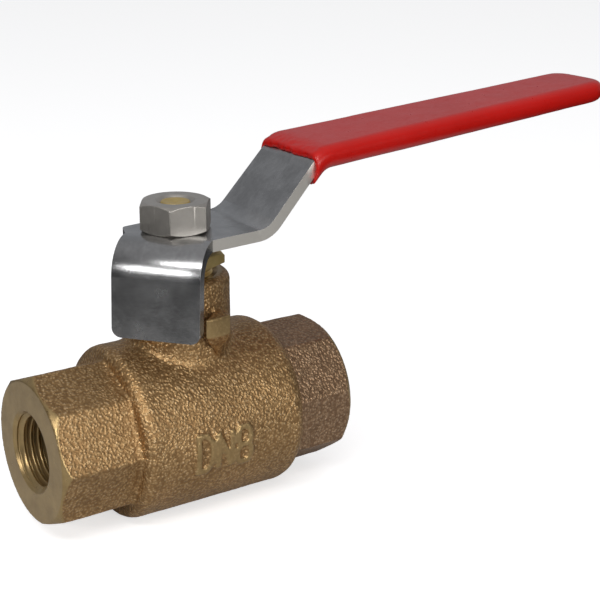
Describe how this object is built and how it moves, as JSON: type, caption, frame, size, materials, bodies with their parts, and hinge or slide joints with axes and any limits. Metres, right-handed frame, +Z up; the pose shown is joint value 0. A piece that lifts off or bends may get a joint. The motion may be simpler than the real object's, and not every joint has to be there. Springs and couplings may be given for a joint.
{
  "type": "ball valve",
  "caption": "Bronze ball valve with octagonal threaded ends, a bent steel lever with a dipped red grip, a stop tab and a gland nut.",
  "frame": {"origin": "centre of the inlet face, on the pipe axis", "axes": "+X along the pipe axis from inlet to outlet, +Z up the stem, the lever lies along +X when the valve is open"},
  "size_m": [0.1214, 0.0303, 0.0657],
  "materials": {
    "cast_bronze": "sand-cast, pebbly, with machined end faces",
    "turned_brass": "turned, satin",
    "plated_ball": "polished plating",
    "seal_plastic": "smooth white fluoropolymer",
    "plated_steel": "bright zinc plating with fine mottling",
    "nut_steel": "satin nickel plating",
    "red_vinyl": "glossy dipped vinyl"
  },
  "bodies": {
    "valve_body": {"body": "cast_bronze", "end_cap": "cast_bronze", "body_seal": "seal_plastic", "inlet_seat": "seal_plastic", "outlet_seat": "seal_plastic", "stem_bearing": "seal_plastic", "stem_packing": "seal_plastic", "gland_nut": "turned_brass"},
    "lever_and_stem": {"stem": "turned_brass", "lever": "plated_steel", "lever_grip": "red_vinyl", "lever_nut": "nut_steel"},
    "flow_ball": {"ball": "plated_ball"}
  },
  "joints": [
    {"name": "lever_turn", "type": "hinge", "parent": "valve_body", "child": "lever_and_stem", "pos_m": [0.028, 0, 0.0325], "axis": [0, 0, 1], "range_deg": [-90, 0]},
    {"name": "ball_turn", "type": "hinge", "parent": "valve_body", "child": "flow_ball", "pos_m": [0.028, 0, 0], "axis": [0, 0, 1], "range_deg": [-90, 0]}
  ],
  "couplings": [
    {"joint": "ball_turn", "follows": "lever_turn", "ratio": 1}
  ]
}
